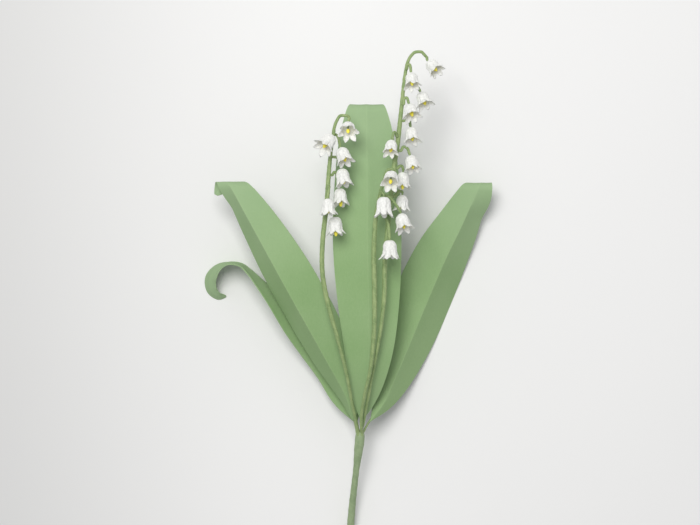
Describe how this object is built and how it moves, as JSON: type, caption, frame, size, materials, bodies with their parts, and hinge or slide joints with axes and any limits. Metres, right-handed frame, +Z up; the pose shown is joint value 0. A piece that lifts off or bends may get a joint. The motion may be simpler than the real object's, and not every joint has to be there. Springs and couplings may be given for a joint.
{
  "type": "handmade paper lily of the valley",
  "caption": "Handmade paper lily of the valley lying down: taped wire flower stems with small white paper bells, long creased green leaves and a taped main stem.",
  "frame": {"origin": "under the middle of the whole flower's box, on the surface it lies on", "axes": "+Y along the flower from the cut stem towards the flower tops, +X to the side of the tallest flower stem, +Z up from the surface"},
  "size_m": [0.1844, 0.3344, 0.0826],
  "materials": {
    "leaf_paper": "matt, fine fibres",
    "stem_tape": "matt, stretched crepe tape",
    "bell_paper": "matt, crinkled",
    "stamen": "matt"
  },
  "bodies": {
    "root": {"main_stem": "stem_tape", "left_flower_stem": "stem_tape", "tall_flower_stem": "stem_tape", "short_flower_stem": "stem_tape", "left_leaf": "leaf_paper", "left_leaf_wire": "stem_tape", "middle_leaf": "leaf_paper", "middle_leaf_wire": "stem_tape", "right_leaf": "leaf_paper", "right_leaf_wire": "stem_tape", "curled_leaf": "leaf_paper", "curled_leaf_wire": "stem_tape", "left_bell_1": "bell_paper", "left_bell_wire_1": "stem_tape", "left_bell_2": "bell_paper", "left_bell_wire_2": "stem_tape", "left_bell_3": "bell_paper", "left_bell_wire_3": "stem_tape", "left_bell_4": "bell_paper", "left_bell_wire_4": "stem_tape", "left_bell_5": "bell_paper", "left_bell_wire_5": "stem_tape", "left_bell_6": "bell_paper", "left_bell_wire_6": "stem_tape", "left_bell_7": "bell_paper", "left_bell_wire_7": "stem_tape", "tall_bell_1": "bell_paper", "tall_bell_wire_1": "stem_tape", "tall_bell_2": "bell_paper", "tall_bell_wire_2": "stem_tape", "tall_bell_3": "bell_paper", "tall_bell_wire_3": "stem_tape", "tall_bell_4": "bell_paper", "tall_bell_wire_4": "stem_tape", "tall_bell_5": "bell_paper", "tall_bell_wire_5": "stem_tape", "tall_bell_6": "bell_paper", "tall_bell_wire_6": "stem_tape", "tall_bell_7": "bell_paper", "tall_bell_wire_7": "stem_tape", "tall_bell_8": "bell_paper", "tall_bell_wire_8": "stem_tape", "tall_bell_9": "bell_paper", "tall_bell_wire_9": "stem_tape", "short_bell_1": "bell_paper", "short_bell_wire_1": "stem_tape", "short_bell_2": "bell_paper", "short_bell_wire_2": "stem_tape", "short_bell_3": "bell_paper", "short_bell_wire_3": "stem_tape", "short_bell_4": "bell_paper", "short_bell_wire_4": "stem_tape"}
  },
  "joints": []
}
